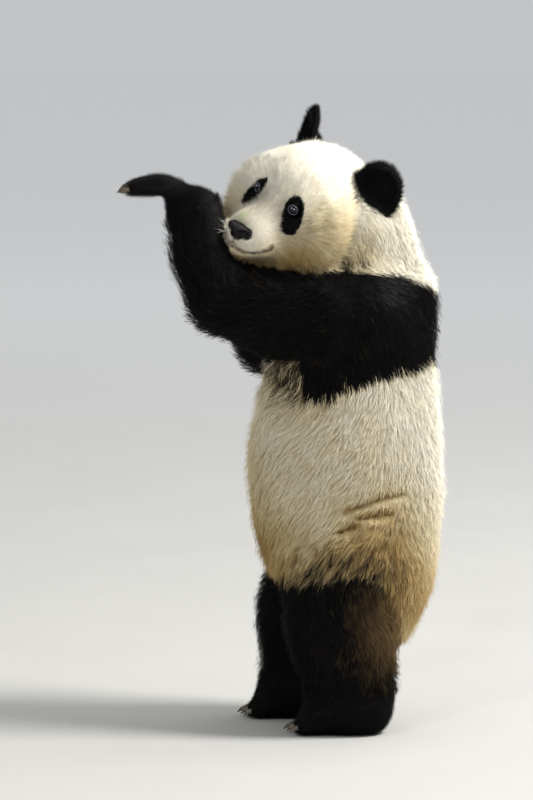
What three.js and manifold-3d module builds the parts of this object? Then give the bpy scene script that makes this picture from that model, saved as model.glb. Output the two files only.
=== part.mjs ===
// A young giant panda, life size, standing upright on its hind feet with both arms stretched forward
// and the palms laid on a level 0.98 m up, its head turned to its left.
// Millimetres, +Z up. The panda faces -Y, its left side is +X, and the soles stand at z = 0.
// The flesh is described by smooth distance fields, turned into closed meshes, and parted by booleans.
import * as THREE from "three";
import { mergeVertices } from "three/addons/utils/BufferGeometryUtils.js";
import Module from "manifold-3d";

const wasm = await Module();
wasm.setup();

// ---------------------------------------------------------------- driving dimensions
const GAP = 0.3; // between neighbouring pieces
const LEFT = 1;
const RIGHT = -1;
const FAR = 2400; // reaches past every side of the panda
const SIDES = { left: LEFT, right: RIGHT };

// Trunk: level, middle of the section front to back, half depth, half width.
const TRUNK = [
  { z: 190, y: 158, deep: 76, wide: 110 },
  { z: 240, y: 142, deep: 121, wide: 150 },
  { z: 290, y: 128, deep: 153, wide: 166 },
  { z: 350, y: 123, deep: 170, wide: 172 },
  { z: 420, y: 121, deep: 179, wide: 176 },
  { z: 480, y: 118, deep: 182, wide: 177 },
  { z: 550, y: 120, deep: 178, wide: 170 },
  { z: 620, y: 125, deep: 168, wide: 158 },
  { z: 690, y: 130, deep: 157, wide: 148 },
  { z: 750, y: 152, deep: 136, wide: 136 },
  { z: 800, y: 176, deep: 104, wide: 112 },
];
const TRUNK_CAP = 70; // rounding above and below the sections
const RUMP = { at: [0, 182, 268], size: [130, 80, 104] };
const NAPE = { at: [0, 178, 815], radius: 94 };
const SCRUFF = { at: [8, 146, 912], radius: 85 };
const POLL = { at: [20, 122, 966], radius: 81 };
const TAIL = {
  root: [0, 244, 304], middle: [0, 240, 255], low: [0, 220, 208], tip: [0, 206, 175],
  radius: [22, 30, 27, 13],
};

// The middle of each arm, with the coat's radius there.
const ARM = {
  left: {
    shoulder: [112, 150, 772], upper: [98, -12, 774], elbow: [80, -108, 800], fore: [68, -148, 880],
    wrist: [62, -158, 955], palm: [66, -226, 998],
  },
  right: {
    shoulder: [-112, 140, 772], upper: [-110, 50, 732], elbow: [-108, -26, 698], fore: [-90, -88, 818],
    wrist: [-70, -150, 942], palm: [-66, -226, 998],
  },
};
const ARM_RADIUS = {
  left: { shoulder: 84, upper: 78, elbow: 66, fore: 57, wrist: 54 },
  right: { shoulder: 84, upper: 68, elbow: 56, fore: 53, wrist: 52 },
};
const ARM_ROOM = {
  slant: 0.7, from: { left: [112, 62, 778], right: [-112, 42, 720] }, floor: { left: 690, right: 630 },
};
const PALM = { level: 986, from: -212, size: [45, 56, 25], less: 10 }; // less: how much slimmer the bend is
const FINGER = { spread: 18.5, root: -242, tip: -274, radius: [19, 16], taper: 0.8, curve: 5 };

// Leg: hip, knee, ankle and foot.
const LEG = {
  left: { hip: [84, 128, 300], knee: [92, 114, 205], ankle: [92, 128, 78] },
  right: { hip: [-84, 112, 300], knee: [-92, 63, 205], ankle: [-92, 42, 78] },
};
const LEG_RADIUS = { hip: 96, knee: 96, ankle: 84 };
const LEG_SLIM = 0.84; // width of a leg against its depth
const ANKLE_LEVEL = 84;
const SOLE = { heel: [32, 34], ball: [-64, 26], radius: [36, 30], wide: 1.2 }; // heel and ball: ahead and up
const TOE = { spread: 19, root: [-50, 22], tip: -98, radius: [20, 15], taper: 0.8, curve: 6 };
const CLAW = { long: { hand: 14, foot: 15 }, radius: 5, sunk: 4, lift: 3, hook: 0.55 };

const HEAD_CENTRE = [12, 51, 974];
const HEAD_TURN = { nod: 1, tilt: 23, yaw: 45 }; // degrees

// Markings, seen from the side as [y, z]: where the black of shoulders and legs begins and ends.
const NECK_EDGE = [[-260, 862], [90, 851], [174, 845], [216, 839], [252, 823], [289, 799], [420, 740]];
const CHEST_EDGE = [
  [-260, 700], [22, 700], [34, 690], [40, 630], [52, 614], [90, 614],
  [124, 636], [174, 655], [239, 662], [289, 680], [420, 726],
];
const LEG_EDGE = [
  [-260, 270], [-24, 284], [33, 278], [102, 294], [150, 302], [172, 292], [190, 266], [200, 232], [210, 180],
  [214, 130], [216, -60],
];

// Sizes of the mesh cells, and widths over which forms melt into one another.
const CELL = { trunk: 34, arm: 29, hand: 14.5, leg: 31, foot: 17 };
const MELT = {
  skull: 34, muzzle: 14, face: 26, socket: 14, trunk: 60, shoulder: 40, elbow: 26, palm: 14, fingers: 9,
  ankle: 36, toes: 10,
};
const ROUND_GAP = GAP + 0.1; // the gap round pieces with coarse facets

// ---------------------------------------------------------------- distance fields
const v = (p) => new THREE.Vector3(...p);

// A ball that swells or shrinks along the line from a to b.
function bone(a, b, ra, rb) {
  const from = v(a);
  const along = v(b).sub(from);
  const reach2 = along.lengthSq();
  return (x, y, z) => {
    const dx = x - from.x;
    const dy = y - from.y;
    const dz = z - from.z;
    const t = THREE.MathUtils.clamp((dx * along.x + dy * along.y + dz * along.z) / reach2, 0, 1);
    return Math.hypot(dx - t * along.x, dy - t * along.y, dz - t * along.z) - ra - t * (rb - ra);
  };
}

// An ellipsoid, turned by Euler angles in degrees if any.
function egg(at, size, turn = [0, 0, 0]) {
  const radians = turn.map(THREE.MathUtils.degToRad);
  const m = new THREE.Matrix4().makeRotationFromEuler(new THREE.Euler(...radians)).transpose().elements;
  return (x, y, z) => {
    const dx = x - at[0];
    const dy = y - at[1];
    const dz = z - at[2];
    const u = m[0] * dx + m[4] * dy + m[8] * dz;
    const w = m[1] * dx + m[5] * dy + m[9] * dz;
    const q = m[2] * dx + m[6] * dy + m[10] * dz;
    const near = Math.hypot(u / size[0], w / size[1], q / size[2]);
    const slope = Math.hypot(u / size[0] ** 2, w / size[1] ** 2, q / size[2] ** 2);
    return slope < 1e-9 ? -Math.min(...size) : (near * (near - 1)) / slope;
  };
}

// Smooth union: fields melt into one another over the given width.
function melt(width, ...fields) {
  return (x, y, z) =>
    fields.reduce((sum, field) => {
      const d = field(x, y, z);
      if (sum === null) return d;
      const h = Math.max(width - Math.abs(sum - d), 0) / width;
      return Math.min(sum, d) - (h * h * width) / 4;
    }, null);
}

// A smooth hollow pressed into a field.
function press(width, field, tool) {
  return (x, y, z) => {
    const a = field(x, y, z);
    const b = -tool(x, y, z);
    const h = Math.max(width - Math.abs(a - b), 0) / width;
    return Math.max(a, b) + (h * h * width) / 4;
  };
}

const grow = (field, by) => (x, y, z) => field(x, y, z) - by;

// An upright column of oval sections.
function column(sections, cap) {
  const low = sections[0].z;
  const high = sections.at(-1).z;
  return (x, y, z) => {
    const level = THREE.MathUtils.clamp(z, low, high);
    const i = Math.min(sections.findIndex((s) => s.z >= level) || 1, sections.length - 1) || 1;
    const t = (level - sections[i - 1].z) / (sections[i].z - sections[i - 1].z);
    const mix = (key) => {
      const at = (n) => sections[THREE.MathUtils.clamp(n, 0, sections.length - 1)][key];
      const [a, b, c, d] = [at(i - 2), at(i - 1), at(i), at(i + 1)];
      return b + 0.5 * t * (c - a + t * (2 * a - 5 * b + 4 * c - d + t * (3 * (b - c) + d - a)));
    };
    const deep = mix("deep");
    const wide = mix("wide");
    const oval = Math.hypot(x / wide, (y - mix("y")) / deep);
    const beyond = (z - level) / cap;
    return (Math.hypot(oval, beyond) - 1) * Math.min(deep, wide);
  };
}

// ---------------------------------------------------------------- meshing
function slopeOf(field, p) {
  const e = 0.5; // half the distance between the two readings
  return new THREE.Vector3(
    field(p.x + e, p.y, p.z) - field(p.x - e, p.y, p.z),
    field(p.x, p.y + e, p.z) - field(p.x, p.y - e, p.z),
    field(p.x, p.y, p.z + e) - field(p.x, p.y, p.z - e),
  ).divideScalar(2 * e);
}

// A closed mesh of the field's surface, one vertex for each grid cell that it crosses. Where the flesh
// runs out of the box, a flat wall closes it.
function net(field, low, high, cell) {
  const count = low.map((l, i) => Math.ceil((high[i] - l) / cell) + 1);
  const [nx, ny, nz] = count;
  const value = new Float32Array(nx * ny * nz);
  const index = (i, j, k) => i + nx * (j + ny * k);
  for (let k = 0; k < nz; k++)
    for (let j = 0; j < ny; j++)
      for (let i = 0; i < nx; i++)
        value[index(i, j, k)] = field(low[0] + i * cell, low[1] + j * cell, low[2] + k * cell);
  const rim = (i, j, k) => [i, j, k].some((n, axis) => n <= 1 || n >= count[axis] - 2);
  for (let k = 0; k < nz; k++)
    for (let j = 0; j < ny; j++)
      for (let i = 0; i < nx; i++)
        if (rim(i, j, k)) value[index(i, j, k)] = Math.max(value[index(i, j, k)], cell / 2);
  const vertex = new Map();
  const positions = [];
  const vertexOf = (i, j, k) => {
    const key = index(i, j, k);
    if (vertex.has(key)) return vertex.get(key);
    const p = new THREE.Vector3();
    let crossings = 0;
    for (let axis = 0; axis < 3; axis++)
      for (let u = 0; u < 2; u++)
        for (let w = 0; w < 2; w++) {
          const a = [0, 0, 0];
          a[(axis + 1) % 3] = u;
          a[(axis + 2) % 3] = w;
          const b = [...a];
          b[axis] = 1;
          const va = value[index(i + a[0], j + a[1], k + a[2])];
          const vb = value[index(i + b[0], j + b[1], k + b[2])];
          if (va < 0 === vb < 0) continue;
          a[axis] = va / (va - vb);
          p.add(v(a));
          crossings++;
        }
    p.divideScalar(crossings).add(new THREE.Vector3(i, j, k)).multiplyScalar(cell).add(v(low));
    const free = !rim(i, j, k) && !rim(i + 1, j + 1, k + 1);
    for (let step = 0; free && step < 3; step++) {
      const slope = slopeOf(field, p);
      const move = slope.multiplyScalar(-field(p.x, p.y, p.z) / Math.max(slope.lengthSq(), 0.1));
      p.add(move.clampLength(0, cell / 3));
    }
    positions.push(p.x, p.y, p.z);
    vertex.set(key, positions.length / 3 - 1);
    return positions.length / 3 - 1;
  };
  const faces = [];
  for (let k = 1; k < nz - 1; k++)
    for (let j = 1; j < ny - 1; j++)
      for (let i = 1; i < nx - 1; i++)
        for (let axis = 0; axis < 3; axis++) {
          const step = [0, 0, 0];
          step[axis] = 1;
          const inside = value[index(i, j, k)] < 0;
          if (inside === value[index(i + step[0], j + step[1], k + step[2])] < 0) continue;
          const around = [[-1, -1], [0, -1], [0, 0], [-1, 0]].map(([u, w]) => {
            const c = [i, j, k];
            c[(axis + 1) % 3] += u;
            c[(axis + 2) % 3] += w;
            return vertexOf(...c);
          });
          if (!inside) around.reverse();
          faces.push(around[0], around[1], around[2], around[0], around[2], around[3]);
        }
  return closed(positions, faces);
}

// The surface met by rays from a centre, with close rings around the face (-Y) and wide ones behind.
function star(field, centre, rings, sides) {
  const count = rings.face + rings.back;
  const surface = (direction) => {
    let r = rings.reach;
    for (let step = 0; step < 80; step++) {
      const p = direction.clone().multiplyScalar(r).add(centre);
      const d = field(p.x, p.y, p.z);
      if (d < 0.02) break;
      r -= 0.8 * d;
    }
    return direction.clone().multiplyScalar(r).add(centre);
  };
  const positions = [];
  const add = (direction) => positions.push(...surface(direction));
  add(new THREE.Vector3(0, -1, 0));
  for (let i = 1; i < count; i++) {
    const behind = Math.max(i - rings.face, 0) / rings.back;
    const away = (Math.min(i / rings.face, 1) * (1 - behind)) * rings.edge + behind * Math.PI;
    for (let j = 0; j < sides; j++) {
      const round = (2 * Math.PI * j) / sides;
      const across = Math.sin(away);
      add(new THREE.Vector3(across * Math.sin(round), -Math.cos(away), across * Math.cos(round)));
    }
  }
  add(new THREE.Vector3(0, 1, 0));
  const at = (i, j) => 1 + (i - 1) * sides + (j % sides);
  const last = positions.length / 3 - 1;
  const faces = [];
  for (let j = 0; j < sides; j++) {
    faces.push(0, at(1, j + 1), at(1, j));
    faces.push(last, at(count - 1, j), at(count - 1, j + 1));
    for (let i = 1; i < count - 1; i++) {
      faces.push(at(i, j), at(i + 1, j + 1), at(i + 1, j));
      faces.push(at(i, j), at(i, j + 1), at(i + 1, j + 1));
    }
  }
  return closed(positions, faces);
}

// A round bar through the points, tapering from radius to radius.
function bar(points, radii, sides) {
  const path = points.map(v);
  const positions = [];
  let across = new THREE.Vector3(1, 0, 0);
  path.forEach((p, i) => {
    const along = path[Math.min(i + 1, path.length - 1)].clone().sub(path[Math.max(i - 1, 0)]).normalize();
    if (Math.abs(across.dot(along)) > 0.9) across = new THREE.Vector3(0, 0, 1);
    across.addScaledVector(along, -across.dot(along)).normalize();
    const up = along.clone().cross(across);
    for (let j = 0; j < sides; j++) {
      const round = (2 * Math.PI * j) / sides;
      const q = p.clone().addScaledVector(across, radii[i] * Math.cos(round));
      positions.push(...q.addScaledVector(up, radii[i] * Math.sin(round)));
    }
  });
  positions.push(...path[0], ...path.at(-1));
  const first = path.length * sides;
  const at = (i, j) => i * sides + (j % sides);
  const faces = [];
  for (let j = 0; j < sides; j++) {
    faces.push(first, at(0, j + 1), at(0, j));
    faces.push(first + 1, at(path.length - 1, j), at(path.length - 1, j + 1));
    for (let i = 0; i < path.length - 1; i++) {
      faces.push(at(i, j), at(i, j + 1), at(i + 1, j + 1));
      faces.push(at(i, j), at(i + 1, j + 1), at(i + 1, j));
    }
  }
  return closed(positions, faces);
}

function closed(positions, faces) {
  const geometry = new THREE.BufferGeometry();
  geometry.setAttribute("position", new THREE.Float32BufferAttribute(positions, 3));
  geometry.setIndex(faces);
  return geometry;
}

// ---------------------------------------------------------------- solids
function solid(geometry, matrix) {
  const g = geometry.index ? geometry.toNonIndexed() : geometry.clone();
  const bare = new THREE.BufferGeometry().setAttribute("position", g.getAttribute("position"));
  if (matrix) bare.applyMatrix4(matrix);
  const merged = mergeVertices(bare, 1e-3);
  const mesh = new wasm.Mesh({
    numProp: 3,
    vertProperties: merged.attributes.position.array,
    triVerts: new Uint32Array(merged.index.array),
  });
  return new wasm.Manifold(mesh);
}

// The largest closed surface of a solid.
function whole(made) {
  return made.decompose().sort((a, b) => b.volume() - a.volume())[0];
}

function geometryOf(made) {
  const mesh = made.getMesh();
  const positions = new Float32Array(mesh.numVert * 3);
  for (let i = 0; i < mesh.numVert; i++)
    positions.set(mesh.vertProperties.subarray(i * mesh.numProp, i * mesh.numProp + 3), i * 3);
  const geometry = new THREE.BufferGeometry();
  geometry.setAttribute("position", new THREE.BufferAttribute(positions, 3));
  geometry.setIndex(new THREE.BufferAttribute(new Uint32Array(mesh.triVerts), 1));
  geometry.computeVertexNormals();
  return geometry;
}

const ball = (at, size, sides) =>
  new THREE.SphereGeometry(1, sides, Math.round(sides / 2)).scale(...size).translate(...at);

// A prism across the whole panda with the given outline in [y, z].
function panel(outline) {
  const shape = new THREE.Shape(outline.map(([y, z]) => new THREE.Vector2(y, z)));
  const block = new THREE.ExtrudeGeometry(shape, { depth: FAR, bevelEnabled: false, curveSegments: 1 });
  block.translate(0, 0, -FAR / 2);
  const turn = new THREE.Matrix4().set(0, 0, 1, 0, 1, 0, 0, 0, 0, 1, 0, 0, 0, 0, 0, 1);
  return solid(block, turn);
}

// Everything under a marking's edge, optionally moved up and back by the gap.
const below = (edge, by = 0) =>
  panel([...edge, [edge.at(-1)[0], -FAR], [edge[0][0], -FAR]].map(([y, z]) => [y + by, z + by]));

function box(low, high) {
  const size = v(high).sub(v(low));
  const centre = v(high).add(v(low)).divideScalar(2);
  return solid(new THREE.BoxGeometry(...size).translate(...centre));
}

// All that lies ahead of a plane, moved ahead by a distance.
function ahead(at, normal, by) {
  const turn = new THREE.Quaternion().setFromUnitVectors(new THREE.Vector3(0, 0, 1), normal);
  const block = new THREE.BoxGeometry(FAR, FAR, FAR).translate(0, 0, FAR / 2 + by);
  return solid(block.applyQuaternion(turn).translate(...at));
}

// Behind and ahead of a plane, with the gap between them.
function cut(made, at, normal) {
  const behind = made.subtract(ahead(at, normal, -GAP / 2));
  return [whole(behind), whole(made.intersect(ahead(at, normal, GAP / 2)))];
}

// The plane through joint b that meets both of its bones alike.
function across(a, b, c) {
  const before = v(b).sub(v(a)).normalize();
  const after = v(c).sub(v(b)).normalize();
  return before.add(after).normalize();
}

// ---------------------------------------------------------------- finishes
const CREAM_FUR = { color: 0xe6dcc6, roughness: 0.9 };
const BLACK_FUR = { color: 0x14130f, roughness: 0.9 };
const EYE_GLOSS = { color: 0x17100b, roughness: 0.08 };
const NOSE_LEATHER = { color: 0x121110, roughness: 0.4 };
const CLAW_HORN = { color: 0x4a4238, roughness: 0.45 };

const panda = new THREE.Group();

function place(name, made, finish, matrix = new THREE.Matrix4()) {
  const material = new THREE.MeshStandardMaterial({ ...finish, metalness: 0 });
  const mesh = new THREE.Mesh(geometryOf(whole(made)).applyMatrix4(matrix), material);
  mesh.name = name;
  panda.add(mesh);
}

// ---------------------------------------------------------------- head
const HEAD = {
  cranium: { at: [0, 16, 9], size: [116, 112, 102] },
  temple: { at: [84, -35, 2], size: [45, 47, 55] },
  cheek: { at: [78, -40, -54], size: [60, 66, 74] },
  jaw: { at: [0, -30, -86], size: [92, 84, 54] },
  muzzle: { from: [0, -74, -50], to: [0, -128, -53], radius: [50, 41], wide: 1.2 },
  bridge: { from: [0, -80, 4], to: [0, -130, -36], radius: [23, 23], wide: 1.25 },
  chin: { from: [0, -80, -86], to: [0, -142, -83], radius: [38, 27] },
  lip: { from: [22, -147, -64], to: [46, -108, -64], radius: [22, 19] },
  socket: { at: [46.5, -112, 12], size: [20, 18, 17] },
};
const EYE = { at: [46.5, -84, 12], radius: 11.5, lid: 14, slack: 0.45 };
const LID = { opening: [10.5, 11, 7.4], slant: 0.2, outward: 0.4 }; // turns in radians
const PATCH = {
  at: [53, -90, 2], size: { left: [22, 28, 38], right: [13.5, 28, 36] }, lean: { left: -18, right: -25 },
};
const EAR = {
  at: { left: [110, 46, 70], right: [-108, 64, 89] },
  size: { left: [52, 19, 59], right: [50, 17, 57] },
  facing: { left: 41, right: 37 }, back: { left: -14, right: -5 },
  root: {
    at: { left: [-10, 4, -22], right: [-8, 3, -17] },
    size: { left: [40, 27, 30], right: [33, 33, 33] },
  },
  cup: [35, 19, 37], cupUp: 4, lift: 16,
};
const NOSE = {
  pad: { at: [0, -166, -45], size: [27, 14, 10.5] },
  base: { at: [0, -165, -53], size: [14, 12, 11] },
  wing: { at: [19, -160, -47], size: [13, 14, 9] },
  nostril: { at: [13, -179, -48], size: [4.8, 8, 3.2], turn: 0.35 },
};
const MOUTH = {
  line: [
    [0, -170, -73], [18, -169, -74], [31, -164, -74], [43, -151, -73], [51, -141, -68], [55, -132, -62],
    [57, -127, -56],
  ],
  radius: 3,
};

const mirror = ([x, y, z], side) => [side * x, y, z];
const headTurn = [HEAD_TURN.nod, HEAD_TURN.tilt, HEAD_TURN.yaw].map(THREE.MathUtils.degToRad);
const onHead = new THREE.Matrix4()
  .makeRotationFromEuler(new THREE.Euler(...headTurn, "ZYX"))
  .setPosition(...HEAD_CENTRE);

const wider = (field, by) => (x, y, z) => field(x / by, y, z);
const pairOf = (make) => [LEFT, RIGHT].map(make);

const skull = melt(
  MELT.skull,
  egg(HEAD.cranium.at, HEAD.cranium.size),
  ...pairOf((side) => egg(mirror(HEAD.temple.at, side), HEAD.temple.size)),
  ...pairOf((side) => egg(mirror(HEAD.cheek.at, side), HEAD.cheek.size)),
  egg(HEAD.jaw.at, HEAD.jaw.size),
);
const muzzle = melt(
  MELT.muzzle,
  ...[HEAD.muzzle, HEAD.bridge].map(({ from, to, radius, wide }) => wider(bone(from, to, ...radius), wide)),
  bone(HEAD.chin.from, HEAD.chin.to, ...HEAD.chin.radius),
  ...pairOf((side) => bone(mirror(HEAD.lip.from, side), mirror(HEAD.lip.to, side), ...HEAD.lip.radius)),
);
const headField = pairOf((side) => egg(mirror(HEAD.socket.at, side), HEAD.socket.size)).reduce(
  (field, socket) => press(MELT.socket, field, socket),
  melt(MELT.face, skull, muzzle),
);

const RAYS_FROM = new THREE.Vector3(0, -15, -24);
const RINGS = { face: 16, back: 8, edge: 0.95, reach: 260 }; // edge: half angle of the close rings, radians
const RAYS_ROUND = 36;
const headStar = (by) => star(grow(headField, by), RAYS_FROM, RINGS, RAYS_ROUND);
const headGrown = solid(headStar(GAP), onHead);
let head = solid(headStar(0));
const noseShape = (by) => {
  const lump = ({ at, size }, side) => solid(ball(mirror(at, side), size.map((r) => r + by), 10));
  const middle = lump(NOSE.pad, LEFT).add(lump(NOSE.base, LEFT));
  return pairOf((side) => lump(NOSE.wing, side)).reduce((made, wing) => made.add(wing), middle);
};
let nose = noseShape(0);
for (const side of Object.values(SIDES)) {
  const hole = ball([0, 0, 0], NOSE.nostril.size, 8).rotateZ(side * NOSE.nostril.turn);
  nose = nose.subtract(solid(hole.translate(...mirror(NOSE.nostril.at, side))));
}
head = head.subtract(noseShape(ROUND_GAP));
const bothSides = [...MOUTH.line.slice(1).reverse().map((p) => mirror(p, RIGHT)), ...MOUTH.line];
head = head.subtract(solid(bar(bothSides, bothSides.map(() => MOUTH.radius), 5)));

// Each eye is a ball in a black patch set into the head; the patch carries the lids.
for (const [word, side] of Object.entries(SIDES)) {
  const eyeAt = mirror(EYE.at, side);
  const sphere = (radius) => solid(ball(eyeAt, [radius, radius, radius], 12));
  const disc = (by) => {
    const shape = ball([0, 0, 0], PATCH.size[word].map((r) => r + by), 14);
    shape.rotateY(THREE.MathUtils.degToRad(side * PATCH.lean[word])).translate(...mirror(PATCH.at, side));
    return solid(shape);
  };
  const oval = ball([0, -EYE.radius, 0], LID.opening, 16);
  oval.rotateY(side * LID.slant).rotateZ(side * LID.outward).translate(...eyeAt);
  const patch = head.intersect(disc(0)).add(sphere(EYE.lid)).subtract(solid(oval));
  head = head.subtract(disc(GAP)).subtract(sphere(EYE.lid + GAP));
  place(`${word}_eye`, sphere(EYE.radius), EYE_GLOSS, onHead);
  place(`${word}_eye_patch`, patch.subtract(sphere(EYE.radius + EYE.slack)), BLACK_FUR, onHead);
}

// Each ear is a thick round disc hollowed into a cup, its root sunk into the head.
const earsGrown = [];
for (const [word, side] of Object.entries(SIDES)) {
  const turn = THREE.MathUtils.degToRad(side * EAR.facing[word]);
  const stand = (shape, matrix) => {
    shape.rotateX(THREE.MathUtils.degToRad(EAR.back[word])).rotateZ(turn).translate(...EAR.at[word]);
    return solid(shape, matrix);
  };
  const disc = (by, matrix) => {
    const root = ball(mirror(EAR.root.at[word], side), EAR.root.size[word].map((r) => r + by), 10);
    return stand(ball([0, 0, 0], EAR.size[word].map((r) => r + by), 16), matrix).add(stand(root, matrix));
  };
  const cup = stand(ball([0, -EAR.lift, EAR.cupUp], EAR.cup, 12));
  place(`${word}_ear`, disc(0).subtract(cup.subtract(head)), BLACK_FUR, onHead);
  head = head.subtract(disc(GAP));
  earsGrown.push(disc(GAP, onHead));
}
place("nose", nose, NOSE_LEATHER, onHead);
place("head", head, CREAM_FUR, onHead);

// ---------------------------------------------------------------- trunk
const armBones = (word) => {
  const radius = ARM_RADIUS[word];
  const joints = Object.keys(radius);
  const bones = joints.slice(1).map((joint, i) => {
    const before = joints[i];
    return bone(ARM[word][before], ARM[word][joint], radius[before], radius[joint]);
  });
  return melt(MELT.elbow, ...bones);
};
const slim = (x, field) => (px, py, pz) => field(x + (px - x) / LEG_SLIM, py, pz) * LEG_SLIM;
const thigh = (word) =>
  slim(LEG[word].hip[0], bone(LEG[word].hip, LEG[word].knee, LEG_RADIUS.hip, LEG_RADIUS.knee));
const shin = (word) =>
  slim(LEG[word].ankle[0], bone(LEG[word].knee, LEG[word].ankle, LEG_RADIUS.knee, LEG_RADIUS.ankle));
const core = melt(
  MELT.trunk,
  column(TRUNK, TRUNK_CAP),
  egg(RUMP.at, RUMP.size),
  bone(NAPE.at, SCRUFF.at, NAPE.radius, SCRUFF.radius),
  bone(SCRUFF.at, POLL.at, SCRUFF.radius, POLL.radius),
);
const legField = (word) => melt(MELT.trunk, melt(MELT.trunk, core, thigh(word)), shin(word));
const withArms = melt(MELT.shoulder, core, armBones("left"), armBones("right"));
const flesh = melt(MELT.trunk, withArms, thigh("left"), thigh("right"));
const trunkNet = solid(net(flesh, [-236, -130, 100], [236, 350, 1100], CELL.trunk));

const tailShape = (by) =>
  solid(bar([TAIL.root, TAIL.middle, TAIL.low, TAIL.tip], TAIL.radius.map((r) => r + by), 14));

// All on one side of the panda above a level, with the middle plane moved over by a distance.
function halfAbove(side, level, by) {
  return side > 0 ? box([-by, -FAR, level], [FAR, FAR, FAR]) : box([-FAR, -FAR, level], [by, FAR, FAR]);
}

// The room of an arm: ahead of an upright plane that slants across the shoulder's front, above a level.
function armRoom(word, by) {
  const normal = new THREE.Vector3(SIDES[word] * ARM_ROOM.slant, -1, 0).normalize();
  const half = halfAbove(SIDES[word], ARM_ROOM.floor[word] - by, by);
  return ahead(ARM_ROOM.from[word], normal, -by).intersect(half);
}
let body = trunkNet.subtract(headGrown).subtract(tailShape(ROUND_GAP));
body = earsGrown.reduce((made, ear) => made.subtract(ear), body);
for (const word of Object.keys(SIDES)) {
  body = body.subtract(armRoom(word, GAP));
}
place("tail", tailShape(0), CREAM_FUR);
place("neck", body.subtract(below(NECK_EDGE, GAP)), CREAM_FUR);
place("shoulders", body.intersect(below(NECK_EDGE)).subtract(below(CHEST_EDGE, GAP)), BLACK_FUR);
place("torso", body.intersect(below(CHEST_EDGE)).subtract(below(LEG_EDGE, GAP)), CREAM_FUR);

// A curved claw from its root, pointing along -Y and hooked down.
function claw(name, [x, y, z], long) {
  const points = [0, 0.45, 1].map((t) => [x, y - long * t, z - long * CLAW.hook * t * t]);
  const radii = [1, 0.8, 0.15].map((r) => r * CLAW.radius);
  place(name, solid(bar(points, radii, 6)), CLAW_HORN);
  return solid(bar(points, radii.map((r) => r + ROUND_GAP), 6));
}

// Five digits side by side from a root to a tip, the outer ones set back.
function digits(size, root, tip) {
  return [-2, -1, 0, 1, 2].map((i) => {
    const end = [tip[0] + i * size.spread, tip[1] + Math.abs(i) * size.curve, tip[2]];
    const start = [root[0] + i * size.spread * size.taper, root[1], root[2]];
    return { end, field: bone(start, end, ...size.radius) };
  });
}

// The paw with a claw sunk into the end of each digit.
function clawed(paw, name, made, radius, long) {
  return made.reduce((rest, { end: [x, y, z] }, i) => {
    const root = [x, y - radius + CLAW.sunk, z + CLAW.lift];
    return rest.subtract(claw(`${name}_claw_${i + 1}`, root, long));
  }, paw);
}

// ---------------------------------------------------------------- arms and hands
const halfBox = (side, reach, low, high) => [
  [Math.min(side * reach, 0) - 6, ...low], [Math.max(side * reach, 0) + 6, ...high],
];

for (const [word, side] of Object.entries(SIDES)) {
  const arm = ARM[word];
  const armField = melt(MELT.shoulder, core, armBones(word));
  const limbNet = net(armField, ...halfBox(side, 236, [-260, 600], [230, 1060]), CELL.arm);
  const limb = solid(limbNet).intersect(armRoom(word, 0));
  const bend = across(arm.upper, arm.elbow, arm.fore);
  const cuff = across(arm.fore, arm.wrist, arm.palm);
  const [upperArm, rest] = cut(limb, arm.elbow, bend);
  const [forearm] = cut(rest, arm.wrist, cuff);
  place(`${word}_upper_arm`, upperArm.subtract(headGrown), BLACK_FUR);
  place(`${word}_forearm`, forearm.subtract(headGrown), BLACK_FUR);

  const [x, y, z] = arm.palm;
  const fingers = digits(FINGER, [x, FINGER.root, z], [x, FINGER.tip, z]);
  const back = bone(arm.wrist, arm.palm, ARM_RADIUS[word].wrist - PALM.less, PALM.size[2]);
  const mitt = melt(MELT.palm, armBones(word), back, egg(arm.palm, PALM.size));
  const hand = melt(MELT.fingers, mitt, ...fingers.map((finger) => finger.field));
  const handNet = net(hand, [x - 90, y - 114, z - 150], [x + 90, y + 176, z + 70], CELL.hand);
  const ledge = box([-FAR, -FAR, 0], [FAR, PALM.from, PALM.level]);
  const paw = cut(solid(handNet), arm.wrist, cuff)[1].subtract(ledge).subtract(headGrown);
  place(`${word}_hand`, clawed(paw, `${word}_hand`, fingers, FINGER.radius[1], CLAW.long.hand), BLACK_FUR);
}

// ---------------------------------------------------------------- legs and feet
for (const [word, side] of Object.entries(SIDES)) {
  const legNet = net(legField(word), ...halfBox(side, 234, [-130, -30], [300, 360]), CELL.leg);
  const above = halfAbove(side, ANKLE_LEVEL + GAP / 2, -GAP / 2);
  const limb = solid(legNet).intersect(below(LEG_EDGE)).intersect(above);
  place(`${word}_leg`, limb.subtract(tailShape(ROUND_GAP)), BLACK_FUR);

  const [x, y] = LEG[word].ankle;
  const toes = digits(TOE, [x, y + TOE.root[0], TOE.root[1]], [x, y + TOE.tip, TOE.radius[1] - 2]);
  const along = [SOLE.heel, SOLE.ball].map(([ahead, up]) => [0, y + ahead, up]);
  const sole = wider(bone(...along, ...SOLE.radius), SOLE.wide);
  const heel = melt(MELT.ankle, legField(word), (px, py, pz) => sole(px - x, py, pz));
  const foot = melt(MELT.toes, heel, ...toes.map((toe) => toe.field));
  const footNet = net(foot, [x - 130, y - 160, -50], [x + 130, y + 150, ANKLE_LEVEL + 60], CELL.foot);
  const paw = solid(footNet).intersect(box([-FAR, -FAR, 0], [FAR, FAR, ANKLE_LEVEL - GAP / 2]));
  place(`${word}_foot`, clawed(paw, `${word}_foot`, toes, TOE.radius[1], CLAW.long.foot), BLACK_FUR);
}

export default panda;
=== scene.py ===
"""A standing giant panda: one skin, its coat in tufts, its face and its claws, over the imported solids."""

import math

import bmesh
import bpy
import numpy as np
from mathutils import Matrix, Vector
from mathutils.bvhtree import BVHTree
from mathutils.kdtree import KDTree


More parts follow.
